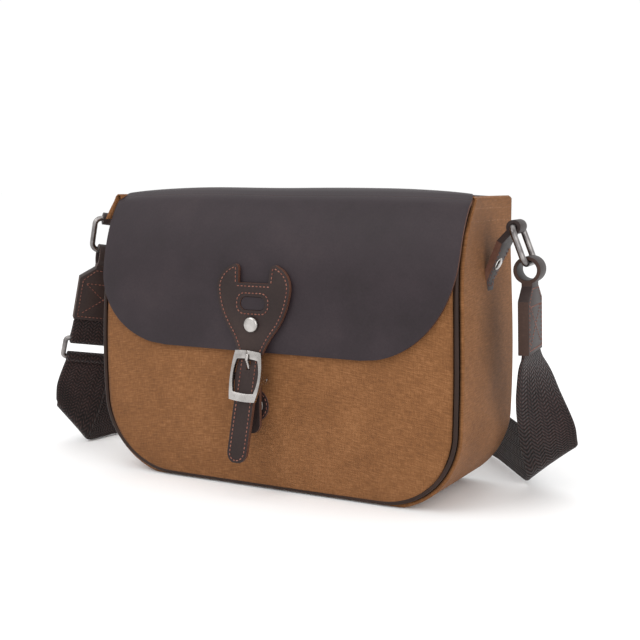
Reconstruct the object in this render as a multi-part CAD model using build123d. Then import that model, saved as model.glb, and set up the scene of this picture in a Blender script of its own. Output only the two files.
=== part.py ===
from build123d import *
import os
from math import atan2, cos, degrees, radians, sin, tan

# Camera messenger bag.  Millimetres, +X to the bag's left-hand-side viewer's right, -Y is the front,
# +Z up, origin at the middle of the bottom that the bag stands on.

# ---------------------------------------------------------------- driving dimensions
WIDTH = 280.0            # side to side, over the gussets
DEPTH = 100.0            # front to back at the bottom
HEIGHT = 205.0           # floor to the rim of the gussets
CORNER_R = 52.0          # rounded bottom corners of the panels
CANVAS = 3.0             # canvas with its backing
PIPE = 4.5               # leather piping, across its bead
LINING = 1.0
LINING_GAP = 0.3
FAR = 300.0              # longer than the bag, for cutters

FLAP_W = 283.0
FLAP_T = 2.4
FLAP_BOTTOM = 99.0
FLAP_CORNER_R = 58.0
FLAP_TAIL = 38.0         # flap leather sewn down the back panel

STRAP_LEATHER_T = 3.0    # closure strap, two layers sewn together
CLOSURE_X = -5.8         # the closure sits a little left of the middle
BILLET_W = 15.5
BILLET_LEAN = 11.3       # the stiff billet stands off the bag, degrees
BILLET_ROLL = 2.5        # and hangs a little to the left, degrees
BILLET_TIP_Z = 24.0
BUCKLE_AT = (CLOSURE_X - 0.6, -66.7, 83.0)   # middle of the billet where the buckle sits

WEB_W = 40.0             # shoulder webbing
WEB_T = 2.2
RING_WIRE_R = 2.1
RING_INNER = 26.0        # side rings, across the inside
RING_REACH = 25.4        # side rings, bar centre to bar centre
TAB_W = 22.0             # leather tabs on the gussets
LOOP_W = 19.4            # leather where it passes through the rings
END_LOOP_R = 9.0         # keyhole loop of a strap end, outside
END_LEATHER = 2.4        # one layer of a strap end
END_DROP = 59.0          # ring bar to the lower edge of a strap end
ADJUSTER_REACH = 17.5
ADJUSTER_R = 2.0
SLIDER_AT = (-20.0, 151.0)

INSERT = (256.0, 82.0, 148.0)   # padded camera insert, outside
INSERT_WALL = 7.0
DIVIDER_T = 6.0
DIVIDER_X = 42.0

# ---------------------------------------------------------------- side profiles
# A station is (y, z, outward normal in degrees).  180 faces the front and 90 faces up.
BODY_FRONT = [(-49.0, 0.0, 186.0), (-54.2, 76.0, 181.0), (-52.0, 150.0, 175.0),
              (-44.5, 179.5, 156.4), (-28.0, 205.0, 138.0)]
FLAP_LID = [(50.4, 205.7, 85.0), (20.0, 209.3, 88.0), (-10.0, 210.1, 95.0),
            (-23.6, 208.2, 117.0), (-33.6, 202.0, 138.0)]
FLAP_FACE = [(-33.6, 202.0, 138.0), (-44.3, 184.8, 153.0), (-51.8, 162.0, 168.0),
             (-55.4, 130.0, 176.0), (-56.4, FLAP_BOTTOM, 180.0)]
CLOSURE_FACE = [(-55.0, 160.5, 169.0), (-57.6, 144.0, 173.0), (-58.6, 128.0, 177.0),
                (-59.3, 116.0, 176.0), (-61.0, 104.0, 180.0 - BILLET_LEAN)]


def off(station, distance):
    y, z, angle = station
    return (y + distance * cos(radians(angle)), z + distance * sin(radians(angle)))


def arcs(stations, distance):
    """Arcs through every second station, offset outward by distance."""
    points = [off(s, distance) for s in stations]
    return [ThreePointArc(*points[i:i + 3]) for i in range(0, len(points) - 2, 2)]


def side_strip(stations, inner, outer, width, tail=None):
    """A sheet that follows the stations in side view and runs the given width along X.
    tail is a straight run on past the last station: its length."""
    near, far = arcs(stations, inner), arcs(stations, outer)
    a0, a1 = off(stations[0], inner), off(stations[0], outer)
    b0, b1 = off(stations[-1], inner), off(stations[-1], outer)
    edges = near + far + [Line(a0, a1)]
    if tail:
        lean = radians(180.0 - stations[-1][2])
        step = (-tail * sin(lean), -tail * cos(lean))
        c0, c1 = (b0[0] + step[0], b0[1] + step[1]), (b1[0] + step[0], b1[1] + step[1])
        edges += [Line(b0, c0), Line(c0, c1), Line(c1, b1)]
    else:
        edges += [Line(b0, b1)]
    face = make_face(Plane.YZ * Wire(edges))
    return extrude(face, amount=width / 2, both=True)


def body_outline(inset, top):
    """Front view of the bag, flat topped with rounded bottom corners, run right through along Y."""
    half, r = WIDTH / 2 - inset, CORNER_R - inset
    low, c = inset, 2 ** -0.5
    edges = [
        Line((-half, top), (-half, low + r)),
        ThreePointArc((-half, low + r), (-half + r * (1 - c), low + r * (1 - c)), (-half + r, low)),
        Line((-half + r, low), (half - r, low)),
        ThreePointArc((half - r, low), (half - r * (1 - c), low + r * (1 - c)), (half, low + r)),
        Line((half, low + r), (half, top)),
        Line((half, top), (-half, top)),
    ]
    return extrude(make_face(Plane.XZ * Wire(edges)), amount=FAR / 2, both=True)


def body_side(inset):
    """Side view of the bag between its front and back faces, run right through along X."""
    front = arcs(BODY_FRONT, -inset)
    low, top = off(BODY_FRONT[0], -inset), off(BODY_FRONT[-1], -inset)
    rise = (top[0] + 20.0 * cos(radians(48)), top[1] + 20.0 * sin(radians(48)))
    back = DEPTH / 2 - inset
    edges = front + [
        Line(top, rise), Line(rise, (back, rise[1])), Line((back, rise[1]), (back, -5.0)),
        Line((back, -5.0), (low[0], -5.0)), Line((low[0], -5.0), low),
    ]
    return extrude(make_face(Plane.YZ * Wire(edges)), amount=FAR / 2, both=True)


def half_space(front):
    """Everything in front of the bag's middle, or everything behind it."""
    return Pos(0, -FAR / 2 if front else FAR / 2, HEIGHT / 2) * Box(2 * FAR, FAR, 2 * FAR)


def disc(radius, y_from, y_to, x, z):
    return Pos(x, (y_from + y_to) / 2, z) * Rot(90, 0, 0) * Cylinder(radius, abs(y_to - y_from))


# ---------------------------------------------------------------- the bag's shell
def panel(front):
    face = body_side(0.5) - body_side(0.5 + CANVAS)
    return body_outline(PIPE, HEIGHT) & face & half_space(front)


def gusset():
    return (body_outline(0, HEIGHT) - body_outline(CANVAS, FAR)) & body_side(PIPE)


def piping(front):
    solid = (body_outline(0, HEIGHT) & body_side(0)) - body_side(PIPE)
    return (solid & half_space(front)) - body_outline(PIPE, FAR)


def cavity(inset, top=HEIGHT):
    return body_outline(CANVAS + inset, top) & body_side(PIPE + inset)


def lining():
    return cavity(LINING_GAP, HEIGHT - 2.0) - cavity(LINING_GAP + LINING, FAR)


def base_board():
    inset = LINING_GAP + LINING
    return Pos(0, 0, CANVAS + inset + 1.3) * Box(168.0, 84.0, 2.0)


def insert_shell():
    w, d, h = INSERT
    z = CANVAS + 6.0
    outer = Pos(0, 0, z + h / 2) * Box(w, d, h)
    outer = fillet(outer.edges().filter_by(Axis.Y).group_by(Axis.Z)[0], CORNER_R - 12.0)
    t = INSERT_WALL
    inner = Pos(0, 0, z + t + h / 2) * Box(w - 2 * t, d - 2 * t, h)
    inner = fillet(inner.edges().filter_by(Axis.Y).group_by(Axis.Z)[0], CORNER_R - 12.0 - t)
    return outer - inner


def divider(x):
    depth = INSERT[1] - 2 * INSERT_WALL - 0.8
    return Pos(x, 0, CANVAS + 6.0 + INSERT_WALL + 64.5) * Box(DIVIDER_T, depth, 128.0)


# ---------------------------------------------------------------- flap
def flap_back_strip():
    return Pos(0, DEPTH / 2 + FLAP_T / 2 + 0.05, HEIGHT - 0.8 - FLAP_TAIL / 2) * Box(
        FLAP_W - 14.0, FLAP_T, FLAP_TAIL)


def flap_top():
    return side_strip(FLAP_LID, 0, FLAP_T, FLAP_W - 14.0)


def flap_front():
    r, half = FLAP_CORNER_R, FLAP_W / 2
    sheet = side_strip(FLAP_FACE, 0, FLAP_T, FLAP_W)
    outline = Pos(0, -60, FLAP_BOTTOM + 90) * Box(FLAP_W, 90, 180)
    outline = fillet(outline.edges().filter_by(Axis.Y).group_by(Axis.Z)[0], r)
    sheet = sheet & outline
    return sheet - disc(RIVET_R + 0.05, -70, -50, RIVET_AT[0], RIVET_AT[1])


# ---------------------------------------------------------------- closure
RIVET_R = 1.6
RIVET_AT = (CLOSURE_X - 0.3, 118.5)
PATCH_TOP = 159.5
NOTCH_HALF, NOTCH_Z = 12.2, 147.0
WINDOW = (20.0, 9.5)
WINDOW_AT = (CLOSURE_X, 133.0)


def wrench_outline(grow=0.0):
    """The open-jawed patch, drawn in front view about its own middle line."""
    def side(s):
        return [
            Line((s * NOTCH_HALF, NOTCH_Z), (s * (NOTCH_HALF + 0.6), PATCH_TOP - 3.5)),
            ThreePointArc((s * (NOTCH_HALF + 0.6), PATCH_TOP - 3.5), (s * 15.2, PATCH_TOP),
                          (s * 18.6, PATCH_TOP - 0.8)),
            ThreePointArc((s * 18.6, PATCH_TOP - 0.8), (s * 26.4, 152.4), (s * 29.0, 142.5)),
            ThreePointArc((s * 29.0, 142.5), (s * 25.6, 127.6), (s * 17.6, 113.5)),
            ThreePointArc((s * 17.6, 113.5), (s * 11.6, 103.8), (s * BILLET_W / 2, 94.0)),
        ]
    closing = [Line((-NOTCH_HALF, NOTCH_Z), (NOTCH_HALF, NOTCH_Z)),
               Line((-BILLET_W / 2, 94.0), (BILLET_W / 2, 94.0))]
    return make_face(Plane.XZ * Wire(side(1) + side(-1) + closing))


def closure_strap():
    run = (104.0 - BILLET_TIP_Z) / cos(radians(BILLET_LEAN))
    sheet = side_strip(CLOSURE_FACE, 0, STRAP_LEATHER_T, 70, tail=run)
    patch = Pos(CLOSURE_X, 0, 0) * extrude(wrench_outline(), amount=120, both=True)
    length = 96.0 - BILLET_TIP_Z + BILLET_W / 2
    slot = Pos(0, 0, -length / 2 + BILLET_W / 2) * extrude(
        Plane.XZ * SlotOverall(length, BILLET_W, rotation=90), amount=120, both=True)
    billet = Pos(CLOSURE_X, 0, 96.0) * Rot(0, BILLET_ROLL, 0) * slot
    strap = sheet & (patch + billet)
    strap -= window_cutter(0.0)
    strap -= disc(RIVET_R + 0.05, -75, -50, *RIVET_AT)
    return strap - in_buckle(Pos(0, 0, 5.0) * Box(3.2, 12.0, 11.4))


def window_cutter(inset, deep=1.2):
    """The rounded window in the patch, cut from its face."""
    w, h = WINDOW[0] - 2 * inset, WINDOW[1] - 2 * inset
    face_y = -58.2 - STRAP_LEATHER_T
    slab = RectangleRounded(w, h, h / 2 - 0.2)
    cutter = extrude(Plane.XZ * slab, amount=6.0)
    return Pos(WINDOW_AT[0], face_y + deep, WINDOW_AT[1]) * Rot(-3.5, 0, 0) * cutter


def patch_inlay():
    inlay = window_cutter(0.25) & side_strip(CLOSURE_FACE, 0, STRAP_LEATHER_T - 0.5, 70)
    return inlay


def patch_rivet():
    x, z = RIVET_AT
    y = -62.6
    cap = Pos(x, y - 1.1, z) * Rot(90, 0, 0) * Cylinder(5.6, 2.2)
    cap = fillet(cap.edges().sort_by(Axis.Y)[0], 1.9)
    return cap + disc(RIVET_R, y - 0.5, -55.5, x, z)


def rivet_washer():
    return disc(4.5, -55.5, -54.7, *RIVET_AT) - disc(RIVET_R + 0.02, -60, -50, *RIVET_AT)


# The buckle is drawn about the middle of the billet: X across, -Y to the front, Z up along it.
FRAME_H, FRAME_W_END, FRAME_W_MID = 34.0, 20.5, 24.5
RAIL = 2.0
BAR_H = 5.6
HEEL_Y, HEEL_Z, HEEL_R = 4.6, -1.0, 1.2
PRONG_R = 1.1


def in_buckle(shape):
    return Pos(*BUCKLE_AT) * Rot(-BILLET_LEAN, BILLET_ROLL, 0) * shape


def barrel(height, end, middle):
    h, e, m = height / 2, end / 2, middle / 2
    return make_face(Plane.XZ * Wire([
        ThreePointArc((-e, -h), (-m, 0), (-e, h)), ThreePointArc((-e, h), (0, h + 0.7), (e, h)),
        ThreePointArc((e, h), (m, 0), (e, -h)), ThreePointArc((e, -h), (0, -h - 0.7), (-e, -h))]))


def buckle_frame():
    outer = extrude(barrel(FRAME_H, FRAME_W_END, FRAME_W_MID), amount=12, both=True)
    inner = extrude(barrel(FRAME_H - 2 * BAR_H, FRAME_W_END - 2 * RAIL, FRAME_W_MID - 2 * RAIL),
                    amount=12, both=True)
    h = FRAME_H / 2 + 1.0
    face = ThreePointArc((-4.7, -h), (-3.9, 0), (-4.7, h))
    back = ThreePointArc((-1.9, h), (-0.9, 0), (-1.9, -h))
    side = make_face(Plane.YZ * Wire([face, Line((-4.7, h), (-1.9, h)), back,
                                      Line((-1.9, -h), (-4.7, -h))]))
    ears = Pos(0, HEEL_Y / 2 - 1.0, HEEL_Z) * Box(40, HEEL_Y + 2.0, 5.6)
    ears += Pos(0, HEEL_Y, HEEL_Z) * Rot(0, 90, 0) * Cylinder(2.8, 40)
    rails = extrude(side, amount=20, both=True) + ears
    bars = Pos(0, -3.3, 0) * Box(60, 2.8, 60)
    ends = Pos(0, 0, 0) * Box(60, 60, FRAME_H - 2 * BAR_H)
    frame = (outer - inner) & rails
    frame = (frame & ends) + ((frame - ends) & bars)
    frame -= Pos(0, 0, HEEL_Z) * Pos(0, HEEL_Y, 0) * Rot(0, 90, 0) * Cylinder(HEEL_R + 0.02, 60)
    notch = Pos(0, -4.9, FRAME_H / 2 - 3.0) * Box(3.0, 3.2, 8.0)
    return in_buckle(frame - notch)


def heel_bar():
    length = FRAME_W_MID - 0.6
    return in_buckle(Pos(0, HEEL_Y, HEEL_Z) * Rot(0, 90, 0) * Cylinder(HEEL_R, length))


def buckle_prong():
    eye = Pos(0, HEEL_Y, HEEL_Z) * Rot(0, 90, 0) * (Cylinder(2.4, 2.2) - Cylinder(HEEL_R + 0.06, 2.2))
    a, b, c = (0, -2.3, 8.7), (0, -4.9, 11.6), (0, -4.9, 14.6)
    start = (0, HEEL_Y - 1.45, HEEL_Z + 1.6)
    shaft = Part()
    for p, q in ((start, a), (a, b), (b, c)):
        run = Vector(*q) - Vector(*p)
        shaft += Plane(origin=p, z_dir=run) * Pos(0, 0, run.length / 2) * Cylinder(PRONG_R, run.length)
    for p in (a, b, c):
        shaft += Pos(*p) * Sphere(PRONG_R)
    shaft -= Pos(0, HEEL_Y, HEEL_Z) * Rot(0, 90, 0) * Cylinder(HEEL_R + 0.06, 8)
    return in_buckle(eye + shaft)


SNAP_Z = 61.0
SNAP_X = CLOSURE_X - 2.6
CHAPE_T = 2.8


def heel_in_bag():
    centre = in_buckle(Pos(0, HEEL_Y, HEEL_Z) * Box(0.1, 0.1, 0.1)).center()
    return centre.X, centre.Y, centre.Z


def snap_chape():
    x, y, z = heel_in_bag()
    loop = Rot(0, 90, 0) * Cylinder(2.8, BILLET_W - 0.5)
    loop -= Pos(0, 0, 3) * Box(4.6, 14, 18)
    strip = Pos(0, 0.2, -20.5) * Box(BILLET_W - 0.5, CHAPE_T, 36.6)
    strip -= Pos(0, 0, -3) * Box(4.6, 14, 6)
    strip = fillet(strip.edges().filter_by(Axis.Y).group_by(Axis.Z)[0], 7.0)
    bore = in_buckle(Pos(0, HEEL_Y, HEEL_Z) * Rot(0, 90, 0) * Cylinder(HEEL_R + 0.06, 40))
    return Pos(x, y, z) * (loop + strip) - bore


def chape_back():
    return heel_in_bag()[1] + 0.2 + CHAPE_T / 2


def snap_stud():
    return disc(7.0, chape_back(), -57.4, SNAP_X, SNAP_Z)


def snap_patch():
    return disc(12.0, -55.9, -50.0, SNAP_X, SNAP_Z) - body_side(0.5)


def snap_socket():
    ring = disc(7.6, -57.1, -55.9, SNAP_X, SNAP_Z)
    return ring


# ---------------------------------------------------------------- side rings and strap ends
def unit(v):
    return Vector(*v).normalized()


class Side:
    """Where one side's hardware hangs.  bar runs along the ring's bars, towards the back."""

    def __init__(self, sign, bar, pivot, ring_down, end_down):
        self.sign = sign
        self.bar = unit(bar)
        self.pivot = Vector(*pivot)
        self.ring_down = self.square(ring_down)
        self.end_down = self.square(end_down)
        self.lower = self.pivot + self.ring_down * RING_REACH

    def square(self, v):
        """v made square to the bars and one long."""
        v = Vector(*v)
        return (v - self.bar * v.dot(self.bar)).normalized()

    def frame(self, origin, down):
        """A plane with X along the bars, Y outward and Z up along the hanging piece."""
        return Plane(origin=origin, x_dir=self.bar, z_dir=-down)


LEFT = Side(-1, (0.636, 0.758, -0.139), (-170.0, -3.0, 186.0), (-0.14, 0.0, -0.99),
            (-0.329, 0.0, -0.944))
RIGHT = Side(1, (-0.10, 0.995, 0.0), (162.0, -1.0, 187.0), (0.37, 0.0, -0.93), (0.03, 0.0, -1.0))


def wire_ring(inner, reach, wire, corner):
    """A rectangular ring of round wire about the middle of its upper bar, hanging down."""
    half = inner / 2 + wire
    path = RectangleRounded(2 * half, reach, corner)
    wires = Plane.XZ * Pos(0, -reach / 2) * path.wire()
    section = Plane(origin=wires @ 0, z_dir=wires % 0) * Circle(wire)
    return sweep(section, path=wires)


def side_ring(side):
    ring = wire_ring(RING_INNER, RING_REACH, RING_WIRE_R, 5.2)
    return side.frame(side.pivot, side.ring_down) * ring


TAB_TOP = {-1: (1.6, 173.4), 1: (11.6, 177.0)}  # how far each tab leans out, and the height of that


def ring_tab(side):
    """A pointed leather tab: its foot is on the gusset, it leans out, and ends in a rolled loop
    round the ring."""
    x = side.sign * (WIDTH / 2 + 0.1)
    base_t = 4.2
    foot = Pos(x + side.sign * base_t / 2, 0, 148.0) * Box(base_t, TAB_W, 8.0)
    shape = Plane.YZ * make_face(Polyline(
        (-5.0, 143.0), (5.0, 143.0), (7.2, 152.0), (-7.2, 152.0), close=True))
    foot &= extrude(shape, amount=FAR / 2, both=True)
    place = side.frame(side.pivot, Vector(0, 0, -1) - side.bar * Vector(0, 0, -1).dot(side.bar))
    loop_r = RING_WIRE_R + 0.3 + 2.4
    hole = place * Rot(0, 90, 0) * Cylinder(RING_WIRE_R + 0.3, TAB_W + 20)
    loop = place * Rot(0, 90, 0) * Cylinder(loop_r, LOOP_W)
    middle = x + side.sign * base_t / 2
    out, top = TAB_TOP[side.sign]
    lean = ribbon([row((middle, 0, 146.5), (0, 1, 0), 11.4),
                   row((middle, 0, 151.0), (0, 1, 0), 13.8),
                   row((middle + side.sign * out, 0, top), (0, 1, 0), TAB_W),
                   row(side.pivot, side.bar, LOOP_W - 2.6)], base_t)
    return foot + lean + loop - hole


def strap_end(side, slot_depth=22.0):
    """Two layers of leather with a keyhole loop round the ring's lower bar; the webbing is sewn
    in between them at the bottom."""
    r, t = END_LOOP_R, END_LEATHER
    centre = -(r - t) + RING_WIRE_R + 0.15
    loop = Pos(0, 0, centre) * Rot(0, 90, 0) * Cylinder(r, LOOP_W)
    hole = Pos(0, 0, centre) * Rot(0, 90, 0) * Cylinder(r - t, TAB_W + 20)
    body_t = 2 * t + WEB_T + 0.2
    neck_z = centre - r + 1.5
    half, wide = LOOP_W / 2, WEB_W / 2 + 1
    shape = make_face(Plane.XZ * Polyline(
        (-half, neck_z + 5), (half, neck_z + 5), (half, neck_z - 3), (wide, neck_z - 12),
        (wide, -END_DROP), (-wide, -END_DROP), (-wide, neck_z - 12), (-half, neck_z - 3), close=True))
    plate = extrude(shape, amount=body_t / 2, both=True)
    slot = Pos(0, 0, -END_DROP) * Box(WEB_W + 0.4, WEB_T + 0.2, 2 * slot_depth)
    return side.frame(side.lower, side.end_down) * (loop + plate - hole - slot)


# The left end carries a short doubled webbing and the adjuster ring.
ADJUSTER_DOWN = LEFT.square((-0.44, 0.077, -0.895))
END_FOOT = LEFT.lower + LEFT.end_down * END_DROP
ADJUSTER_TOP = END_FOOT + ADJUSTER_DOWN * 19.0
ADJUSTER_LOW = ADJUSTER_TOP + ADJUSTER_DOWN * ADJUSTER_REACH


def adjuster_ring():
    ring = wire_ring(WEB_W + 2.4, ADJUSTER_REACH, ADJUSTER_R, 3.0)
    return Plane(origin=ADJUSTER_TOP, x_dir=LEFT.bar, z_dir=-ADJUSTER_DOWN) * ring


def short_webbing():
    """From inside the left strap end, down and round the adjuster's upper bar."""
    turn = Plane(origin=ADJUSTER_TOP, x_dir=LEFT.bar, z_dir=-ADJUSTER_DOWN)
    loop = turn * Rot(0, 90, 0) * Cylinder(ADJUSTER_R + 0.2 + WEB_T, WEB_W)
    up = turn * Pos(0, 0, 9.0) * Box(WEB_W, WEB_T, 18.0)
    tongue = LEFT.frame(END_FOOT, LEFT.end_down) * Pos(0, 0, 9.0) * Box(WEB_W, WEB_T, 20.0)
    hole = turn * Rot(0, 90, 0) * Cylinder(ADJUSTER_R + 0.2, WEB_W + 20)
    return loop + up + tongue - hole


# ---------------------------------------------------------------- shoulder webbing
# Rows across the webbing, hand laid: (one edge, the other edge).  On the hanging stretches the first
# edge is the nearer one; after a fold it is the edge that lies on the floor or the one above it.
def row(centre, across, width=WEB_W):
    c, a = Vector(*centre), unit(across)
    return c - a * (width / 2), c + a * (width / 2)


def standing(x, y, z=0.0, lean=(0.0, 0.0)):
    """The webbing on its edge: the first edge is low, the second is above it."""
    low = Vector(x, y, z)
    up = Vector(lean[0], lean[1], 1.0).normalized()
    return low, low + up * WEB_W


def webbing_rows():
    bar = LEFT.bar
    out = Vector(0, 0, 0) - LEFT.frame(LEFT.pivot, ADJUSTER_DOWN).y_dir
    low = ADJUSTER_LOW
    left = [
        row(low + ADJUSTER_DOWN * 3.2, bar),
        row((-213.0, 2.0, 50.0), (0.62, 0.77, -0.17)),
        row((-215.5, 1.0, 36.0), (0.52, 0.78, -0.35)),
        (Vector(-226.0, -14.5, 33.0), Vector(-212.5, 5.0, 0.3)),
    ]
    back = [
        standing(-210.0, 24.0, 0.3, (-0.45, -0.1)),
        standing(-206.0, 48.0, 0.3, (-0.22, 0.0)),
        standing(-199.0, 76.0, 0.3, (-0.1, 0.0)),
        standing(-183.0, 105.0, 0.3),
        standing(-157.0, 129.0, 0.6),
        standing(-124.0, 144.0, 2.0),
        standing(-88.0, 151.0, 4.2),
        standing(40.0, 151.0, 4.2),
        standing(70.0, 145.0, 2.4),
        standing(93.0, 131.0, 0.6, (0.05, -0.05)),
        standing(112.0, 113.0, 0.3, (0.2, -0.22)),
        standing(132.0, 86.0, 0.3, (0.42, -0.37)),
        standing(146.0, 67.0, 0.3, (0.62, -0.4)),
    ]
    right = [
        (Vector(158.0, 51.0, 0.3), Vector(198.5, 32.0, 35.5)),
        (Vector(158.5, 30.0, 28.0), Vector(198.0, 30.0, 41.0)),
        (Vector(161.0, 12.0, 51.5), Vector(197.0, 29.0, 51.0)),
        (Vector(164.5, -3.0, 68.5), Vector(192.0, 25.0, 64.6)),
        (Vector(167.5, -10.0, 82.0), Vector(186.0, 24.5, 76.0)),
        (Vector(170.5, -15.5, 96.0), Vector(180.0, 22.5, 91.0)),
        row(RIGHT.lower + RIGHT.end_down * (END_DROP + 1.0), RIGHT.bar),
        row(RIGHT.lower + RIGHT.end_down * (END_DROP - 19.0), RIGHT.bar),
    ]
    left = [(b, a) for a, b in left]
    return left + back + right


def thickness_ways(rows):
    """At each row, the way the thickness points, longer at a bend so both stretches keep it."""
    middles = [(a + b) * 0.5 for a, b in rows]
    flats = []
    for i in range(len(rows) - 1):
        across = (rows[i][1] - rows[i][0]).normalized() + (rows[i + 1][1] - rows[i + 1][0]).normalized()
        flats.append((middles[i + 1] - middles[i]).cross(across).normalized())
    ways = []
    for i in range(len(rows)):
        before, after = flats[max(i - 1, 0)], flats[min(i, len(flats) - 1)]
        mean = (before + after).normalized()
        ways.append(mean / max(mean.dot(before), 0.6))
    return ways


def ribbon(rows, thickness, shift=0.0):
    """A flat closed solid through the rows, thickness thick."""
    sections = []
    for (a, b), way in zip(rows, thickness_ways(rows)):
        inner, outer = way * (shift - thickness / 2), way * (shift + thickness / 2)
        sections.append(make_face(Polyline(a + inner, b + inner, b + outer, a + outer, close=True)))
    solid = loft(sections[:2], ruled=True)
    for i in range(1, len(sections) - 1):
        solid += loft(sections[i:i + 2], ruled=True)
    return solid


def adjuster_wrap():
    """The webbing's turn round the adjuster's lower bar."""
    turn = Plane(origin=ADJUSTER_LOW, x_dir=LEFT.bar, z_dir=-ADJUSTER_DOWN)
    tube = Cylinder(ADJUSTER_R + 0.2 + WEB_T, WEB_W) - Cylinder(ADJUSTER_R + 0.2, WEB_W + 20)
    return turn * Rot(0, 90, 0) * tube


def strap_webbing():
    return ribbon(webbing_rows(), WEB_T) + adjuster_wrap()


def tail_rows():
    """The tail's rows: those of the strap up to the slider, with one more in each of the two spans
    that twist on the floor, so the offset sheet doesn't fold through itself there."""
    rows = webbing_rows()[:11] + [standing(SLIDER_AT[0] - 2.0, SLIDER_AT[1], 4.2)]
    out = []
    for i, (a, b) in enumerate(zip(rows, rows[1:])):
        out.append(a)
        if i in (2, 3):
            out.append(((a[0] + b[0]) * 0.5, (a[1] + b[1]) * 0.5))
    return out + [rows[-1]]


def strap_webbing_return():
    """The webbing's tail, doubled back from the adjuster ring to the slider on the outer side, and
    pressed flat against the strap and the floor where it twists."""
    tail = ribbon(tail_rows(), WEB_T, shift=-(WEB_T + 0.5)) - strap_webbing()
    return tail - Pos(0, 0, -50) * Box(900, 900, 100)


def sheet_area(rows, steps=12):
    """Area of the ruled sheet through the rows, which allows for rows that cross it at a slant."""
    total = 0.0
    for (a, b), (c, d) in zip(rows, rows[1:]):
        grid = [[(a * (1 - u / steps) + b * (u / steps)) * (1 - v / steps)
                 + (c * (1 - u / steps) + d * (u / steps)) * (v / steps)
                 for u in range(steps + 1)] for v in range(steps + 1)]
        for i in range(steps):
            for j in range(steps):
                p, q, r, t = grid[i][j], grid[i + 1][j], grid[i + 1][j + 1], grid[i][j + 1]
                total += (q - p).cross(r - p).length / 2 + (r - p).cross(t - p).length / 2
    return total


def report_webbing():
    """For each webbing node as exported: its volume beside section x length and area x thickness,
    and its tightest bend."""
    wrap = adjuster_wrap().volume
    for name, rows, extra in (("strap_webbing", webbing_rows(), wrap), ("strap_webbing_return", tail_rows(), 0.0)):
        middles = [(a + b) * 0.5 for a, b in rows]
        steps = [(q - p).length for p, q in zip(middles, middles[1:])]
        bends = []
        for i in range(1, len(middles) - 1):
            turn = radians((middles[i] - middles[i - 1]).get_angle(middles[i + 1] - middles[i]))
            if turn > 0.02:
                bends.append((steps[i - 1] + steps[i]) / 2 / turn)
        print(f"{name}: volume {NODES[name]().volume:.0f}, section x length {WEB_W * WEB_T * sum(steps) + extra:.0f}, "
              f"area x thickness {sheet_area(rows) * WEB_T + extra:.0f}, length {sum(steps):.0f}, "
              f"tightest bend radius {min(bends):.1f}")
    print(f"webbing round the adjuster bar: bend radius {ADJUSTER_R + 0.2 + WEB_T / 2:.1f}")


def strap_slider():
    """A three-bar slide: the outer bars pass one face of the webbing, the middle bar the other."""
    x, y = SLIDER_AT
    bar, rail = 3.4, 4.0
    low, high = rail + 0.0, rail + WEB_W + 0.6
    length = 28.0
    rails = Pos(0, 0, low / 2) * Box(length, 11.0, rail) + Pos(0, 0, high + rail / 2) * Box(
        length, 11.0, rail)
    ends = Pos(length / 2 - bar / 2, -3.8, (low + high) / 2) * Box(bar, 3.4, high - low + 1)
    ends += Pos(-length / 2 + bar / 2, -3.8, (low + high) / 2) * Box(bar, 3.4, high - low + 1)
    middle = Pos(0, 4.9, (low + high) / 2) * Box(bar, 1.2, high - low + 1)
    return Pos(x, y, 0) * (rails + ends + middle)


# ---------------------------------------------------------------- write the nodes
NODES = {
    "front_panel": lambda: panel(True),
    "back_panel": lambda: panel(False),
    "gusset": gusset,
    "front_piping": lambda: piping(True),
    "back_piping": lambda: piping(False),
    "lining": lining,
    "base_board": base_board,
    "insert_shell": insert_shell,
    "left_divider": lambda: divider(-DIVIDER_X),
    "right_divider": lambda: divider(DIVIDER_X),
    "flap_back_strip": flap_back_strip,
    "flap_top": flap_top,
    "flap_front": flap_front,
    "closure_strap": closure_strap,
    "patch_inlay": patch_inlay,
    "patch_rivet": patch_rivet,
    "rivet_washer": rivet_washer,
    "buckle_frame": buckle_frame,
    "heel_bar": heel_bar,
    "buckle_prong": buckle_prong,
    "snap_chape": snap_chape,
    "snap_stud": snap_stud,
    "snap_patch": snap_patch,
    "snap_socket": snap_socket,
    "left_ring_tab": lambda: ring_tab(LEFT),
    "right_ring_tab": lambda: ring_tab(RIGHT),
    "left_ring": lambda: side_ring(LEFT),
    "right_ring": lambda: side_ring(RIGHT),
    "left_strap_end": lambda: strap_end(LEFT),
    "right_strap_end": lambda: strap_end(RIGHT),
    "short_webbing": short_webbing,
    "adjuster_ring": adjuster_ring,
    "strap_webbing": strap_webbing,
    "strap_webbing_return": strap_webbing_return,
    "strap_slider": strap_slider,
}

if __name__ == "__main__":
    os.makedirs("parts", exist_ok=True)
    for name, make in NODES.items():
        export_step(make(), f"parts/{name}.step")
        print("wrote", name)
    report_webbing()
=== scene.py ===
import math

import bmesh
import bpy
import numpy as np
from mathutils import Matrix, Vector, noise
from mathutils.bvhtree import BVHTree


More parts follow.
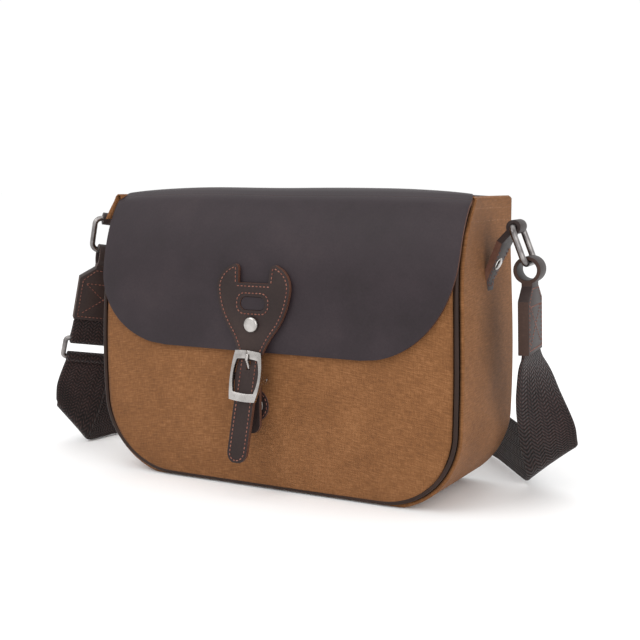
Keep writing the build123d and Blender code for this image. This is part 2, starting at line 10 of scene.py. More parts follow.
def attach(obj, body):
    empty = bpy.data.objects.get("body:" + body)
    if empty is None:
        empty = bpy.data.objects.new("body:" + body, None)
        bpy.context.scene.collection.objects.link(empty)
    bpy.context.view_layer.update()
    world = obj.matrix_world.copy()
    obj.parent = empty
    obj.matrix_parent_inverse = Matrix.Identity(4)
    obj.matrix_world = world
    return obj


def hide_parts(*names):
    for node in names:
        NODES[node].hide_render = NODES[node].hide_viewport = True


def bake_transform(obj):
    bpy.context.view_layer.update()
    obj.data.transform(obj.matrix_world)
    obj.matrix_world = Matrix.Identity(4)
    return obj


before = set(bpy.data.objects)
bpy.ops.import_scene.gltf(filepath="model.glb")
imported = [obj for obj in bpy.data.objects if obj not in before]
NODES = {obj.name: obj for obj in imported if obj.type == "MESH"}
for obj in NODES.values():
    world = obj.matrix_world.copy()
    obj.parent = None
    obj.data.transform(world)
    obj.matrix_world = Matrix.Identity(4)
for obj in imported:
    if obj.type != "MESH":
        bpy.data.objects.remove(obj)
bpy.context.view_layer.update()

COLLECTION = bpy.context.scene.collection

# ---------------------------------------------------------------- camera
EYE = Vector((0.40449, -0.72223, 0.21746))
LOOK = Vector((-0.47198, 0.87307, -0.12239)).normalized()
camera_data = bpy.data.cameras.new("camera")
camera_data.lens = 63.77
camera_data.sensor_width = 36.0
camera_data.clip_start = 0.05
camera = bpy.data.objects.new("camera", camera_data)
camera.location = EYE
camera.rotation_euler = LOOK.to_track_quat("-Z", "Y").to_euler()
COLLECTION.objects.link(camera)
bpy.context.scene.camera = camera


# ---------------------------------------------------------------- materials
class Nodes:
    """Short calls for building one material's node tree."""

    def __init__(self, name):
        self.material = bpy.data.materials.new(name)
        self.material.use_nodes = True
        self.tree = self.material.node_tree
        self.shader = self.tree.nodes["Principled BSDF"]
        self.coords = self.tree.nodes.new("ShaderNodeTexCoord")

    def add(self, kind, **settings):
        node = self.tree.nodes.new(kind)
        for key, value in settings.items():
            setattr(node, key, value)
        return node

    def link(self, a, b):
        self.tree.links.new(a, b)

    def math(self, operation, a, b=None, c=None):
        node = self.add("ShaderNodeMath", operation=operation)
        for socket, value in zip(node.inputs, (a, b, c)):
            if value is None:
                continue
            if isinstance(value, (int, float)):
                socket.default_value = value
            else:
                self.link(value, socket)
        return node.outputs[0]

    def noise(self, scale, detail=3.0, rough=0.6, vector=None):
        node = self.add("ShaderNodeTexNoise")
        node.inputs["Scale"].default_value = scale
        node.inputs["Detail"].default_value = detail
        node.inputs["Roughness"].default_value = rough
        self.link(vector or self.coords.outputs["Object"], node.inputs["Vector"])
        return node.outputs[0]

    def threads(self, along, across):
        """Noise drawn out along one direction of the surface's own UV, which is in metres."""
        node = self.add("ShaderNodeMapping")
        node.inputs["Scale"].default_value = (along, across, 1.0)
        self.link(self.coords.outputs["UV"], node.inputs["Vector"])
        return self.noise(1.0, 2.0, 0.6, node.outputs[0])

    def ramp(self, factor, stops):
        node = self.add("ShaderNodeValToRGB")
        elements = node.color_ramp.elements
        while len(elements) < len(stops):
            elements.new(0.5)
        for element, (place, colour) in zip(elements, stops):
            element.position = place
            element.color = (*colour, 1.0)
        self.link(factor, node.inputs["Fac"])
        return node.outputs["Color"]

    def mix(self, factor, a, b, blend_type="MIX"):
        node = self.add("ShaderNodeMix", data_type="RGBA", blend_type=blend_type)
        for socket, value in ((node.inputs[0], factor), (node.inputs[6], a), (node.inputs[7], b)):
            if isinstance(value, (int, float)):
                socket.default_value = value
            elif isinstance(value, tuple):
                socket.default_value = (*value, 1.0)
            else:
                self.link(value, socket)
        return node.outputs[2]

    def to_range(self, value, low, high):
        node = self.add("ShaderNodeMapRange")
        self.link(value, node.inputs["Value"])
        node.inputs["To Min"].default_value = low
        node.inputs["To Max"].default_value = high
        return node.outputs[0]

    def bump(self, height, strength, distance, after=None):
        node = self.add("ShaderNodeBump")
        node.inputs["Strength"].default_value = strength
        node.inputs["Distance"].default_value = distance
        self.link(height, node.inputs["Height"])
        if after is not None:
            self.link(after, node.inputs["Normal"])
        return node.outputs[0]

    def finish(self, colour=None, rough=None, normal=None, **fixed):
        for key, value in fixed.items():
            self.shader.inputs[key.replace("_", " ")].default_value = value
        if colour is not None:
            self.link(colour, self.shader.inputs["Base Color"])
        if rough is not None:
            self.link(rough, self.shader.inputs["Roughness"])
        if normal is not None:
            self.link(normal, self.shader.inputs["Normal"])
        return self.material


def weave(n, pitch):
    """A plain weave of over and under threads on the surface's own UV, which is in metres."""
    split = n.add("ShaderNodeSeparateXYZ")
    n.link(n.coords.outputs["UV"], split.inputs[0])
    u, v = split.outputs[0], split.outputs[1]
    k = 2 * math.pi / pitch
    su, sv = n.math("SINE", n.math("MULTIPLY", u, k)), n.math("SINE", n.math("MULTIPLY", v, k))
    return n.math("MULTIPLY", su, sv)


def canvas_material(name, dark, mid, light, pitch=0.0011):
    n = Nodes(name)
    cloud = n.noise(26.0, 5.0, 0.62)
    weft, warp = n.threads(150.0, 1150.0), n.threads(1150.0, 190.0)
    thread = weave(n, pitch)
    yarn = n.math("ADD", n.math("MULTIPLY", weft, 0.60), n.math("MULTIPLY", warp, 0.40))
    tone = n.math("ADD", n.math("MULTIPLY", cloud, 0.30), n.math("MULTIPLY", yarn, 0.70))
    colour = n.ramp(tone, [(0.36, dark), (0.50, mid), (0.64, light)])
    colour = n.mix(n.to_range(thread, 0.0, 0.22), colour, dark)
    soft = n.bump(cloud, 0.25, 0.0015)
    height = n.math("ADD", n.math("MULTIPLY", thread, 0.5), yarn)
    return n.finish(colour, n.to_range(tone, 0.68, 0.86), n.bump(height, 0.6, 0.00030, soft),
                    Sheen_Weight=0.04, Sheen_Roughness=0.5, Specular_IOR_Level=0.22)


def leather_material(name, dark, mid, light, rough=(0.40, 0.56), grain=1500.0, coat=0.0):
    n = Nodes(name)
    cloud = n.noise(19.0, 4.0, 0.6)
    cells = n.add("ShaderNodeTexVoronoi", feature="DISTANCE_TO_EDGE")
    cells.inputs["Scale"].default_value = grain
    n.link(n.coords.outputs["Object"], cells.inputs["Vector"])
    fine = n.noise(640.0, 4.0, 0.7)
    colour = n.ramp(n.math("ADD", n.math("MULTIPLY", cloud, 0.7), n.math("MULTIPLY", fine, 0.3)),
                    [(0.33, dark), (0.52, mid), (0.72, light)])
    normal = n.bump(fine, 0.22, 0.0002, n.bump(cells.outputs["Distance"], 0.10, 0.0003))
    return n.finish(colour, n.to_range(cloud, *rough), normal, Specular_IOR_Level=0.24, Coat_Weight=coat,
                    Coat_Roughness=0.5)


def webbing_material():
    n = Nodes("webbing")
    split = n.add("ShaderNodeSeparateXYZ")
    n.link(n.coords.outputs["UV"], split.inputs[0])
    u, v = split.outputs[0], split.outputs[1]
    chevron = n.math("PINGPONG", u, 0.0042)
    phase = n.math("MULTIPLY", n.math("ADD", n.math("MULTIPLY", chevron, 1.0), v), 2 * math.pi / 0.0030)
    ribs = n.math("SINE", phase)
    cross = n.math("SINE", n.math("MULTIPLY", u, 2 * math.pi / 0.0024))
    weft = n.math("ADD", n.math("MULTIPLY", ribs, 0.7), n.math("MULTIPLY", cross, 0.3))
    cloud = n.noise(60.0, 3.0)
    colour = n.ramp(n.math("ADD", n.math("MULTIPLY", n.to_range(weft, 0.3, 0.75), 0.8),
                           n.math("MULTIPLY", cloud, 0.3)),
                    [(0.34, (0.004, 0.0020, 0.0018)), (0.56, (0.024, 0.0110, 0.0098)),
                     (0.90, (0.078, 0.042, 0.038))])
    return n.finish(colour, None, n.bump(weft, 0.85, 0.00035), Roughness=0.82, Sheen_Weight=0.15,
                    Specular_IOR_Level=0.25)


def metal_material(name, dark, light, rough):
    n = Nodes(name)
    cloud, fine = n.noise(90.0, 3.0), n.noise(900.0, 3.0, 0.7)
    colour = n.ramp(cloud, [(0.35, dark), (0.65, light)])
    return n.finish(colour, n.to_range(fine, *rough), n.bump(fine, 0.05, 0.00005), Metallic=1.0)


def thread_material(name, dark, light):
    n = Nodes(name)
    twist = n.noise(2600.0, 2.0)
    return n.finish(n.ramp(n.noise(240.0), [(0.35, dark), (0.65, light)]), None, n.bump(twist, 0.5, 0.0001),
                    Roughness=0.62)


CANVAS = canvas_material("waxed_canvas", (0.128, 0.050, 0.0155), (0.195, 0.080, 0.026),
                         (0.285, 0.127, 0.049))
LEATHER = leather_material("flap_leather", (0.0165, 0.0108, 0.0130), (0.0245, 0.0165, 0.0200),
                           (0.036, 0.025, 0.028), rough=(0.46, 0.60))
TRIM = leather_material("trim_leather", (0.016, 0.0085, 0.0075), (0.025, 0.0145, 0.013),
                        (0.040, 0.024, 0.020), rough=(0.42, 0.60), grain=1100.0)
EDGE = leather_material("cut_leather_edge", (0.065, 0.026, 0.017), (0.10, 0.043, 0.028), (0.15, 0.072, 0.047),
                        rough=(0.55, 0.7), grain=2400.0)
DARK_EDGE = leather_material("dark_leather_edge", (0.026, 0.013, 0.009), (0.042, 0.021, 0.015),
                             (0.066, 0.034, 0.024), rough=(0.5, 0.68), grain=2000.0)
PIPING = leather_material("piping_leather", (0.015, 0.0065, 0.004), (0.024, 0.0105, 0.0065),
                          (0.038, 0.018, 0.011), rough=(0.38, 0.52))
WEBBING = webbing_material()
NICKEL = metal_material("antique_nickel", (0.34, 0.32, 0.305), (0.52, 0.495, 0.475), (0.20, 0.32))
DARK_NICKEL = metal_material("dark_nickel", (0.12, 0.11, 0.11), (0.34, 0.32, 0.31), (0.26, 0.40))
THREAD = thread_material("rust_thread", (0.13, 0.032, 0.018), (0.27, 0.105, 0.070))
TAN_THREAD = thread_material("tan_thread", (0.10, 0.038, 0.014), (0.38, 0.19, 0.09))
LINING = canvas_material("lining_cloth", (0.022, 0.016, 0.013), (0.036, 0.026, 0.021),
                         (0.055, 0.041, 0.034), 0.0008)
PAD = canvas_material("insert_cloth", (0.050, 0.038, 0.030), (0.075, 0.058, 0.047), (0.10, 0.08, 0.066),
                      0.0008)
BOARD = leather_material("board_fibre", (0.03, 0.028, 0.026), (0.045, 0.042, 0.04), (0.06, 0.056, 0.052))
# The slight glow keeps a horizon line from showing.
PAPER = Nodes("studio_floor").finish(
    Base_Color=(0.96, 0.96, 0.96, 1.0), Roughness=0.95, Specular_IOR_Level=0.1,
    Emission_Color=(1.0, 1.0, 1.0, 1.0), Emission_Strength=0.03)


# ---------------------------------------------------------------- mesh helpers
def new_object(name, mesh, *materials):
    piece = bpy.data.objects.new(name, mesh)
    COLLECTION.objects.link(piece)
    for material in materials:
        mesh.materials.append(material)
    return piece


def smooth_shade(mesh):
    mesh.polygons.foreach_set("use_smooth", [True] * len(mesh.polygons))


def grid(name, points, material, closed=False):
    """A mesh from a grid of points.  Its UV is in metres along the grid."""
    points = np.array(points, float)
    rows, columns = points.shape[:2]
    mesh = bpy.data.meshes.new(name)
    faces, wrap = [], columns if closed else columns - 1
    for i in range(rows - 1):
        for j in range(wrap):
            k = (j + 1) % columns
            faces.append((i * columns + j, i * columns + k, (i + 1) * columns + k, (i + 1) * columns + j))
    mesh.from_pydata(points.reshape(-1, 3).tolist(), [], faces)
    across = np.zeros((rows, columns))
    across[:, 1:] = np.cumsum(np.linalg.norm(np.diff(points, axis=1), axis=2), axis=1)
    across -= across[:, -1:] / 2
    along = np.zeros((rows, columns))
    along[1:] = np.cumsum(np.linalg.norm(np.diff(points, axis=0), axis=2), axis=0)
    layer = mesh.uv_layers.new(name="UVMap")
    for loop in mesh.loops:
        i, j = divmod(loop.vertex_index, columns)
        layer.data[loop.index].uv = (across[i, j], along[i, j])
    smooth_shade(mesh)
    return new_object(name, mesh, material)


def thicken(piece, thickness, offset=-1.0, bevel=0.0, rim_material=None):
    solid = piece.modifiers.new("thickness", "SOLIDIFY")
    solid.thickness = thickness
    solid.offset = offset
    solid.use_even_offset = True
    if rim_material is not None:
        piece.data.materials.append(rim_material)
        solid.material_offset_rim = len(piece.data.materials) - 1
    if bevel:
        rounding = piece.modifiers.new("rounding", "BEVEL")
        rounding.width = bevel
        rounding.segments = 3
        rounding.limit_method = "ANGLE"
        rounding.angle_limit = math.radians(50)
    bake_modifiers(piece)


def bake_modifiers(piece):
    bpy.context.view_layer.update()
    graph = bpy.context.evaluated_depsgraph_get()
    mesh = bpy.data.meshes.new_from_object(piece.evaluated_get(graph))
    piece.modifiers.clear()
    piece.data = mesh


def spline(points, count):
    """A Catmull-Rom line through the points, count samples evenly along it."""
    p = np.array(points, float)
    p = np.vstack([2 * p[0] - p[1], p, 2 * p[-1] - p[-2]])
    out = []
    for i in range(1, len(p) - 2):
        for t in np.linspace(0, 1, 24, endpoint=False):
            out.append(0.5 * (2 * p[i] + (p[i + 1] - p[i - 1]) * t
                              + (2 * p[i - 1] - 5 * p[i] + 4 * p[i + 1] - p[i + 2]) * t * t
                              + (3 * p[i] - p[i - 1] - 3 * p[i + 1] + p[i + 2]) * t ** 3))
    out = np.array(out + [p[-2]])
    length = np.concatenate([[0], np.cumsum(np.linalg.norm(np.diff(out, axis=0), axis=1))])
    even = np.linspace(0, length[-1], count)
    return np.stack([np.interp(even, length, out[:, k]) for k in range(out.shape[1])], axis=1)


def tube(name, line, radius, material, sides=10, closed=False):
    """A round bead along a line of points."""
    line = [Vector(p) for p in line]
    rings, up = [], Vector((0, 1, 0))
    last = len(line) - 1
    for i, p in enumerate(line):
        ahead = line[(i + 1) % len(line)] if closed else line[min(i + 1, last)]
        behind = line[i - 1] if closed or i else line[0]
        way = (ahead - behind).normalized()
        side = way.cross(up).normalized()
        lift = side.cross(way).normalized()
        rings.append([p + radius * (math.cos(a) * side + math.sin(a) * lift)
                      for a in np.linspace(0, 2 * math.pi, sides, endpoint=False)])
    if closed:
        rings.append(rings[0])
    piece = grid(name, [[tuple(q) for q in ring] for ring in rings], material, closed=True)
    if not closed:
        edit = bmesh.new()
        edit.from_mesh(piece.data)
        bmesh.ops.holes_fill(edit, edges=[e for e in edit.edges if e.is_boundary])
        edit.to_mesh(piece.data)
        edit.free()
    return piece


def refined(node, name, material, bevel=0.0004, edge=None, is_edge=None, angle=35.0):
    """A copy of a CAD node with its edges rounded over, standing for it."""
    mesh = NODES[node].data.copy()
    mesh.name = name
    mesh.materials.clear()
    piece = new_object(name, mesh, material)
    edit = bmesh.new()
    edit.from_mesh(mesh)
    bmesh.ops.remove_doubles(edit, verts=edit.verts, dist=1e-6)
    bmesh.ops.dissolve_limit(edit, angle_limit=math.radians(1.0), verts=edit.verts, edges=edit.edges)
    if edge is not None:
        mesh.materials.append(edge)
        for face in edit.faces:
            face.material_index = 1 if is_edge(face.normal, face.calc_center_median()) else 0
    edit.to_mesh(mesh)
    edit.free()
    rounding = piece.modifiers.new("rounding", "BEVEL")
    rounding.width = bevel
    rounding.segments = 3
    rounding.limit_method = "ANGLE"
    rounding.angle_limit = math.radians(angle)
    rounding.use_clamp_overlap = True
    bake_modifiers(piece)
    smooth_shade(piece.data)
    piece.data.set_sharp_from_angle(angle=math.radians(38))
    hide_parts(node)
    return piece


def surface_of(piece):
    edit = bmesh.new()
    edit.from_mesh(piece.data)
    tree = BVHTree.FromBMesh(edit)
    edit.free()
    return tree


def stitches(name, marks, material, pitch=0.0030, length=0.0021, radius=0.00032, sink=0.0):
    """Threads along lines of (point, normal) marks, one small rounded stitch each pitch."""
    mesh = bpy.data.meshes.new(name)
    verts, faces = [], []
    for line in marks:
        points = np.array([tuple(p) for p, _ in line])
        normals = np.array([tuple(q) for _, q in line])
        run = np.concatenate([[0], np.cumsum(np.linalg.norm(np.diff(points, axis=0), axis=1))])
        count = max(int(run[-1] / pitch), 1)
        for k in range(count):
            at = (k + 0.5) * run[-1] / count
            place = [Vector([np.interp(min(max(at + d, 0), run[-1]), run, points[:, c]) for c in range(3)])
                     for d in (-length / 2, 0, length / 2)]
            normal = Vector([np.interp(at, run, normals[:, c]) for c in range(3)]).normalized()
            way = place[2] - place[0]
            if way.length < 1e-6:
                continue
            way.normalize()
            side = way.cross(normal).normalized()
            base = len(verts)
            for t, fat, dip in ((-0.5, 0.35, -0.35), (-0.3, 0.9, 0.25), (0.0, 1.0, 0.45), (0.3, 0.9, 0.25),
                                (0.5, 0.35, -0.35)):
                centre = place[1] + way * (t * length) + normal * (radius * dip - sink)
                for a in range(6):
                    w = a * math.pi / 3
                    ring = math.cos(w) * side + 0.8 * math.sin(w) * normal
                    verts.append(tuple(centre + radius * fat * ring))
            for r in range(4):
                for a in range(6):
                    b = (a + 1) % 6
                    low = base + r * 6
                    faces.append((low + a, low + b, low + 6 + b, low + 6 + a))
            faces.append(tuple(base + a for a in reversed(range(6))))
            faces.append(tuple(base + 24 + a for a in range(6)))
    mesh.from_pydata(verts, [], faces)
    smooth_shade(mesh)
    return new_object(name, mesh, material)


def cast_marks(tree, points, direction, back=0.03, lift=0.0):
    """Points dropped onto a surface along direction, with the surface's normal."""
    direction = Vector(direction).normalized()
    marks = []
    for p in points:
        hit, normal, _, _ = tree.ray_cast(Vector(p) - direction * back, direction)
        if hit is not None:
            if normal.dot(direction) > 0:
                normal = -normal
            marks.append((hit + normal * lift, normal))
    return marks


def ride(piece, body):
    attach(piece, body)
    return piece


# ---------------------------------------------------------------- shoulder webbing
# Rows across the webbing from the adjuster ring to the right strap end, as the CAD has them, in metres.
ROUTE = [
    ((-0.1932, 0.0208, 0.0655), (-0.2187, -0.0096, 0.0710)),
    ((-0.2006, 0.0174, 0.0466), (-0.2254, -0.0134, 0.0534)),
    ((-0.2051, 0.0166, 0.0290), (-0.2259, -0.0146, 0.0430)),
    ((-0.2125, 0.0050, 0.0003), (-0.2260, -0.0145, 0.0330)),
    ((-0.2100, 0.0240, 0.0003), (-0.2263, 0.0204, 0.0366)),
    ((-0.2060, 0.0480, 0.0003), (-0.2146, 0.0480, 0.0394)),
    ((-0.1990, 0.0760, 0.0003), (-0.2030, 0.0760, 0.0401)),
    ((-0.1830, 0.1050, 0.0003), (-0.1830, 0.1050, 0.0403)),
    ((-0.1570, 0.1290, 0.0006), (-0.1570, 0.1290, 0.0406)),
    ((-0.1240, 0.1440, 0.0020), (-0.1240, 0.1440, 0.0420)),
    ((-0.0880, 0.1510, 0.0042), (-0.0880, 0.1510, 0.0442)),
    ((0.0400, 0.1510, 0.0042), (0.0400, 0.1510, 0.0442)),
    ((0.0700, 0.1450, 0.0024), (0.0700, 0.1450, 0.0424)),
    ((0.0930, 0.1310, 0.0006), (0.0950, 0.1290, 0.0405)),
    ((0.1120, 0.1130, 0.0003), (0.1197, 0.1046, 0.0386)),
    ((0.1320, 0.0860, 0.0003), (0.1467, 0.0731, 0.0352)),
    ((0.1460, 0.0670, 0.0003), (0.1660, 0.0541, 0.0325)),
    ((0.1580, 0.0510, 0.0003), (0.1985, 0.0320, 0.0355)),
    ((0.1585, 0.0300, 0.0280), (0.1980, 0.0300, 0.0410)),
    ((0.1610, 0.0120, 0.0515), (0.1970, 0.0290, 0.0510)),
    ((0.1645, -0.0030, 0.0685), (0.1920, 0.0250, 0.0646)),
    ((0.1675, -0.0100, 0.0820), (0.1860, 0.0245, 0.0760)),
    ((0.1705, -0.0155, 0.0960), (0.1800, 0.0225, 0.0910)),
    ((0.1751, -0.0198, 0.1034), (0.1711, 0.0200, 0.1034)),
    ((0.1745, -0.0198, 0.1234), (0.1705, 0.0200, 0.1234)),
]
WEB_T = 0.0022


def route_line(points):
    """The smooth line with these control points."""
    data = bpy.data.curves.new("route", "CURVE")
    data.dimensions = "3D"
    data.resolution_u = 10
    line = data.splines.new("NURBS")
    line.points.add(len(points) - 1)
    for point, place in zip(line.points, points):
        point.co = (*place, 1.0)
    line.order_u = 3
    line.use_endpoint_u = True
    carrier = bpy.data.objects.new("route", data)
    COLLECTION.objects.link(carrier)
    mesh = bpy.data.meshes.new_from_object(carrier)
    out = np.array([tuple(v.co) for v in mesh.vertices])
    bpy.data.objects.remove(carrier)
    bpy.data.curves.remove(data)
    bpy.data.meshes.remove(mesh)
    return out


def ribbon(name, low, high, shift=0.0):
    """Webbing between two edge lines: flat faces, rounded selvedges, with UV along and across."""
    count = len(low)
    centre = (low + high) / 2
    across = (high - low)
    width = np.linalg.norm(across, axis=1, keepdims=True)
    across = across / width
    along = np.gradient(centre, axis=0)
    normal = np.cross(along, across)
    normal /= np.linalg.norm(normal, axis=1, keepdims=True)
    half = WEB_T / 2
    ring = [(-1.0, 0.0), (-0.985, 0.62), (-0.94, 1.0)] + [(t, 1.0) for t in np.linspace(-0.8, 0.8, 9)]
    ring += [(0.94, 1.0), (0.985, 0.62), (1.0, 0.0)]
    ring += [(x, -y) for x, y in reversed(ring[1:-1])]
    rows = []
    for i in range(count):
        mid = centre[i] + normal[i] * shift
        rows.append([mid + across[i] * (x * width[i, 0] / 2) + normal[i] * (y * half) for x, y in ring])
    piece = grid(name, rows, WEBBING, closed=True)
    run = np.concatenate([[0], np.cumsum(np.linalg.norm(np.diff(centre, axis=0), axis=1))])
    layer = piece.data.uv_layers["UVMap"]
    for loop in piece.data.loops:
        i, j = divmod(loop.vertex_index, len(ring))
        layer.data[loop.index].uv = (ring[j][0] * 0.020 + 0.02, run[i])
    edit = bmesh.new()
    edit.from_mesh(piece.data)
    bmesh.ops.holes_fill(edit, edges=[e for e in edit.edges if e.is_boundary])
    edit.to_mesh(piece.data)
    edit.free()
    return piece, centre, float(run[-1])


low_line = route_line([a for a, b in ROUTE])
high_line = route_line([b for a, b in ROUTE])
straight = (low_line[:, 1] > 0.1500) & (low_line[:, 0] > -0.085)
CUT = int(np.argmax(straight & (low_line[:, 0] > -0.024)))
left_web, left_path, left_length = ribbon("webbing_left", low_line[:CUT + 1], high_line[:CUT + 1])
right_web, right_path, right_length = ribbon("webbing_right", low_line[CUT:], high_line[CUT:])
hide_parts("strap_webbing")

TAIL_ROWS = 11
tail_low = route_line([a for a, b in ROUTE[:TAIL_ROWS]] + [(-0.0220, 0.1510, 0.0042)])
tail_high = route_line([b for a, b in ROUTE[:TAIL_ROWS]] + [(-0.0220, 0.1510, 0.0442)])
TURN = int(np.argmax(tail_low[:, 0] > -0.124))
TAIL_GAP = -0.0027  # between the middles of the tail and the strap: one thickness and 0.5 mm of air
tail, _, tail_length = ribbon("webbing_tail", tail_low[:TURN + 1], tail_high[:TURN + 1], TAIL_GAP)
tail_end, _, tail_end_length = ribbon("webbing_tail_end", tail_low[TURN:], tail_high[TURN:], TAIL_GAP)
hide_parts("strap_webbing_return")
print("webbing lengths", round(left_length + right_length, 4), round(tail_length + tail_end_length, 4))

# The turn round the adjuster's lower bar, and the short piece above the ring.
L_BAR = Vector((0.636515, 0.758614, -0.139113))
ADJ_TOP, ADJ_LOW = Vector((-0.198099, 0.002445, 0.087126)), Vector((-0.204746, 0.005094, 0.071156))
ADJ_DOWN = (ADJ_LOW - ADJ_TOP).normalized()
L_FOOT = Vector((-0.190882, -0.000431, 0.104465))
L_END = Vector((-0.280237, 0.059441, -0.958089))


def web_along(name, line, width=0.040):
    """A flat strip of webbing whose width runs along the left bars."""
    line = spline(line, 60)
    low = line - np.array(L_BAR) * width / 2
    high = line + np.array(L_BAR) * width / 2
    return ribbon(name, low, high)[0]


adj_out = ADJ_DOWN.cross(L_BAR).normalized()
wrap_r = 0.0034


def round_bar(centre, start, end, count):
    return [tuple(centre + wrap_r * (math.cos(a) * adj_out + math.sin(a) * ADJ_DOWN))
            for a in np.linspace(math.radians(start), math.radians(end), count)]


lower_wrap = web_along(
    "webbing_turn", [tuple(ADJ_LOW + ADJ_DOWN * 0.0042 + adj_out * 0.0018)] + round_bar(ADJ_LOW, 10, -190, 9)
    + [tuple(ADJ_LOW + ADJ_DOWN * 0.0042 - adj_out * 0.0018)])
upper_wrap = web_along(
    "short_webbing_loop", [tuple(L_FOOT - L_END * 0.014), tuple(L_FOOT),
                           tuple(ADJ_TOP - ADJ_DOWN * 0.008 + adj_out * 0.0012)]
    + round_bar(ADJ_TOP, -10, 190, 9) + [tuple(ADJ_TOP - ADJ_DOWN * 0.009 - adj_out * 0.0014),
                                         tuple(ADJ_TOP - ADJ_DOWN * 0.0155 - adj_out * 0.0012)])
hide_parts("short_webbing")
ride(upper_wrap, "left_end")
ride(lower_wrap, "adjuster")

# ---------------------------------------------------------------- bag body
HALF_W, H, CORNER = 0.140, 0.205, 0.052
FRONT_LINE = [(0.0, -0.0490), (0.030, -0.0523), (0.060, -0.0539), (0.085, -0.0543), (0.110, -0.0541),
              (0.130, -0.0534), (0.150, -0.0520), (0.165, -0.0494), (0.1795, -0.0445), (0.192, -0.0375),
              (0.205, -0.0280)]
_front = spline(FRONT_LINE, 300)


def front_y(z):
    return float(np.interp(z, _front[:, 0], _front[:, 1]))


def side_bow(z):
    """How far the soft sides stand out at a height."""
    return 0.0030 * math.sin(math.pi * min(max(z / 0.17, 0.0), 1.0)) ** 1.2


def half_width(z):
    if z >= CORNER:
        return HALF_W + side_bow(z)
    return HALF_W - CORNER + math.sqrt(max(CORNER ** 2 - (CORNER - z) ** 2, 0.0)) + side_bow(z) * z / CORNER


def outline(inset=0.0):
    """The bag's front outline from the top left, round the bottom, to the top right."""
    r = CORNER
    pts = [(-HALF_W, z) for z in np.linspace(H, r, 40)[:-1]]
    quarter = np.linspace(0, math.pi / 2, 24)[:-1]
    pts += [(-HALF_W + r - r * math.cos(a), r - r * math.sin(a)) for a in quarter]
    pts += [(x, 0.0) for x in np.linspace(-HALF_W + r, HALF_W - r, 44)[:-1]]
    pts += [(HALF_W - r + r * math.sin(a), r - r * math.cos(a)) for a in quarter]
    pts += [(HALF_W, z) for z in np.linspace(r, H, 40)]
    out = []
    for i, (x, z) in enumerate(pts):
        a, b = pts[max(i - 1, 0)], pts[min(i + 1, len(pts) - 1)]
        way = Vector((b[0] - a[0], 0, b[1] - a[1])).normalized()
        inward = Vector((-way.z, 0, way.x))
        if inward.x * x > 0 and abs(x) > HALF_W - r:
            inward = -inward
        elif abs(x) <= HALF_W - r:
            inward = Vector((0, 0, 1))
        bow = side_bow(z) * (1 if x > 0 else -1) * min(z / r, 1.0)
        out.append(Vector((x + bow, 0, z)) + inward * inset)
    return out


def wrinkle(x, z, seed, scale=22.0):
    return noise.noise(Vector((x * scale, z * scale, seed)))


def panel(name, front):
    rows = []
    for k in np.linspace(0, 1, 64):
        z = 0.0026 + (H - 0.0030) * (k ** 1.35)
        w = half_width(z) - 0.0036
        row = []
        for t in np.linspace(-1, 1, 96):
            x = w * t
            rim = (1 - abs(t) ** 5) * math.sin(math.pi * min(1.0, 0.10 + 0.92 * z / H)) ** 0.7
            fold = 0.0009 * wrinkle(x, z, 3.1 if front else 8.7) + 0.0004 * wrinkle(x, z, 5.0, 60.0)
            if front:
                y = front_y(z) + 0.0012 - 0.0024 * rim - fold * rim
            else:
                y = 0.0490 + 0.0015 * rim + fold * rim
            row.append((x, y, z))
        rows.append(row)
    if not front:
        rows = [row[::-1] for row in rows]
    piece = grid(name, rows, CANVAS)
    thicken(piece, 0.0022, offset=-1.0)
    return piece


front_panel = panel("front_canvas", True)
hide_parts("front_panel")
ride(front_panel, "bag")
back_panel = panel("back_canvas", False)
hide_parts("back_panel")
ride(back_panel, "bag")

RIM_LINE = outline()


def gusset_point(p, t, lift=0.0):
    """A point on the gusset: p on the outline, t from the front seam, 0, to the back seam, 1."""
    y0, y1 = front_y(p.z) + 0.0042, 0.0458
    y = y0 + (y1 - y0) * t
    side = 1 if p.x > 0 else -1
    swell = 4 * t * (1 - t)
    out = Vector((p.x / HALF_W, 0, 0)) if p.z > CORNER else Vector(
        ((abs(p.x) - HALF_W + CORNER) / CORNER * side if abs(p.x) > HALF_W - CORNER else 0.0, 0,
         -(CORNER - p.z) / CORNER if abs(p.x) > HALF_W - CORNER else -1.0))
    out = Vector((out.x, 0, min(out.z, 0)))
    if out.length > 1e-6:
        out.normalize()
    high = min(max((p.z - 0.03) / 0.05, 0), 1)
    bulge = 0.0022 * swell * high * (1 - min(max((p.z - 0.11) / 0.05, 0), 1))
    dent = 0.0020 * swell * min(max((p.z - 0.150) / 0.035, 0), 1)
    fold = 0.0007 * wrinkle(y * side, p.z, 12.0 + side, 26.0) * swell * high
    return Vector((p.x, y, p.z)) + out * (bulge - dent + fold + lift)


def gusset():
    rows = []
    for p in RIM_LINE:
        rows.append([tuple(gusset_point(p, t)) for t in np.linspace(0, 1, 40)])
    piece = grid("gusset_canvas", rows, CANVAS)
    thicken(piece, 0.0024, offset=1.0)
    for vertex in piece.data.vertices:  # flat where it stands on the floor
        vertex.co.z = max(vertex.co.z, -0.0008)
    return piece


gusset_piece = gusset()
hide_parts("gusset")
ride(gusset_piece, "bag")


def flare(side, t):
    return 0.0030 * max(0.0, 1 - (t + 0.11) / 0.22) if side < 0 else 0.0


